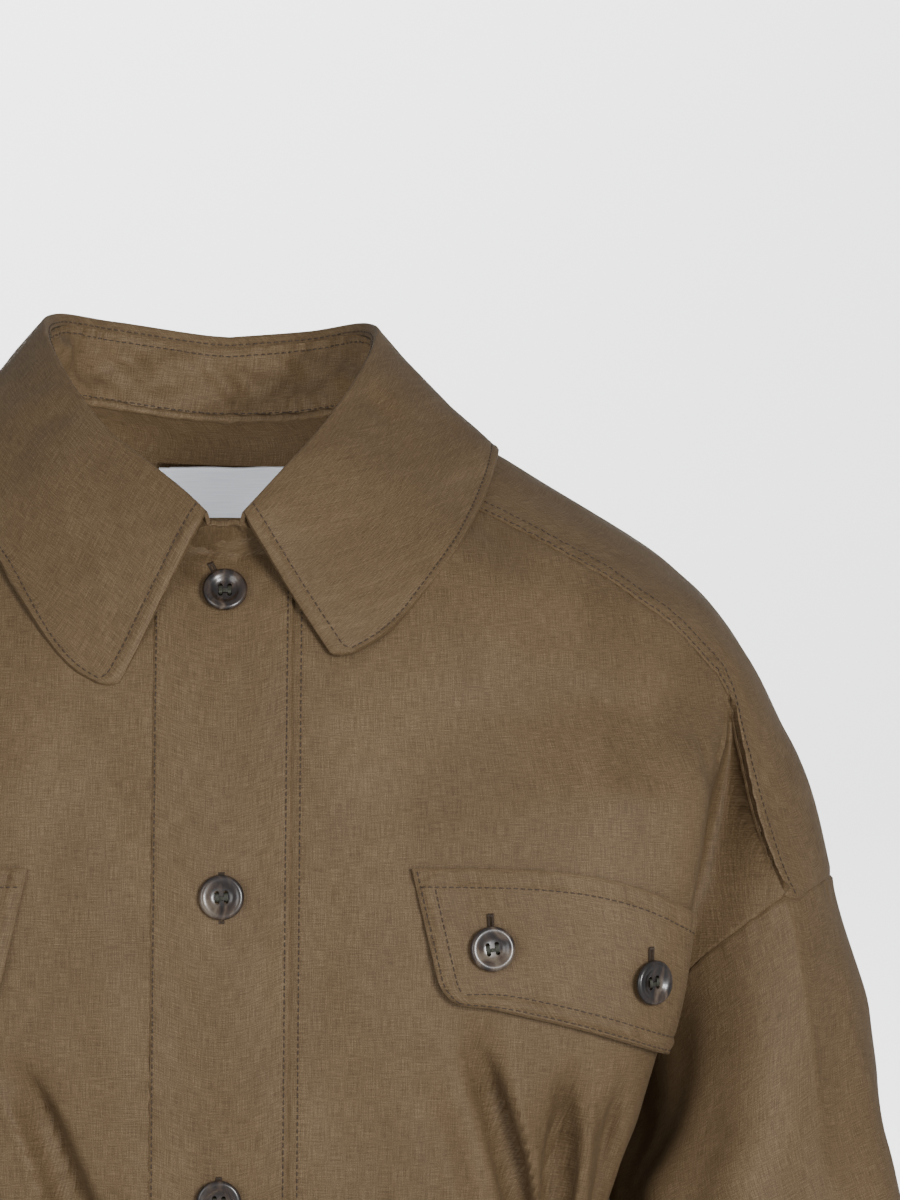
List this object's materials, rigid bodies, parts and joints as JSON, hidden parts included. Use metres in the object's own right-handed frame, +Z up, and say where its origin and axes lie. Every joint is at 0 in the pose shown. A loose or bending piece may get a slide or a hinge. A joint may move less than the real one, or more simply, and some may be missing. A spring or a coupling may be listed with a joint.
{
  "type": "shirt jacket",
  "caption": "Cropped shirt jacket with dropped shoulders, a broad collar, a buttoned front and buttoned chest flaps, worn open at the neck.",
  "frame": {"origin": "centre of the neck at the level of the high point of the shoulders, where the wearer's neck and shoulders carry the jacket", "axes": "+Z up, -Y out of the front, +X towards the wearer's left"},
  "size_m": [0.6726, 0.2329, 0.7071],
  "materials": {
    "cloth": "khaki brown cotton and linen plain weave with a soft sheen",
    "label": "pale woven satin, blank",
    "button": "dark horn, polished"
  },
  "bodies": {
    "root": {"front_left": "cloth", "front_right": "cloth", "back": "cloth", "yoke": "cloth", "sleeve_left": "cloth", "sleeve_right": "cloth", "cuff_left": "cloth", "cuff_right": "cloth", "collar": "cloth", "collar_stand": "cloth", "placket": "cloth", "button_band": "cloth", "flap_left": "cloth", "flap_right": "cloth", "waistband": "cloth", "label": "label", "front_button_1": "button", "front_button_2": "button", "front_button_3": "button", "waist_button": "button", "flap_button_left_1": "button", "flap_button_left_2": "button", "flap_button_right_1": "button", "flap_button_right_2": "button"}
  },
  "joints": []
}
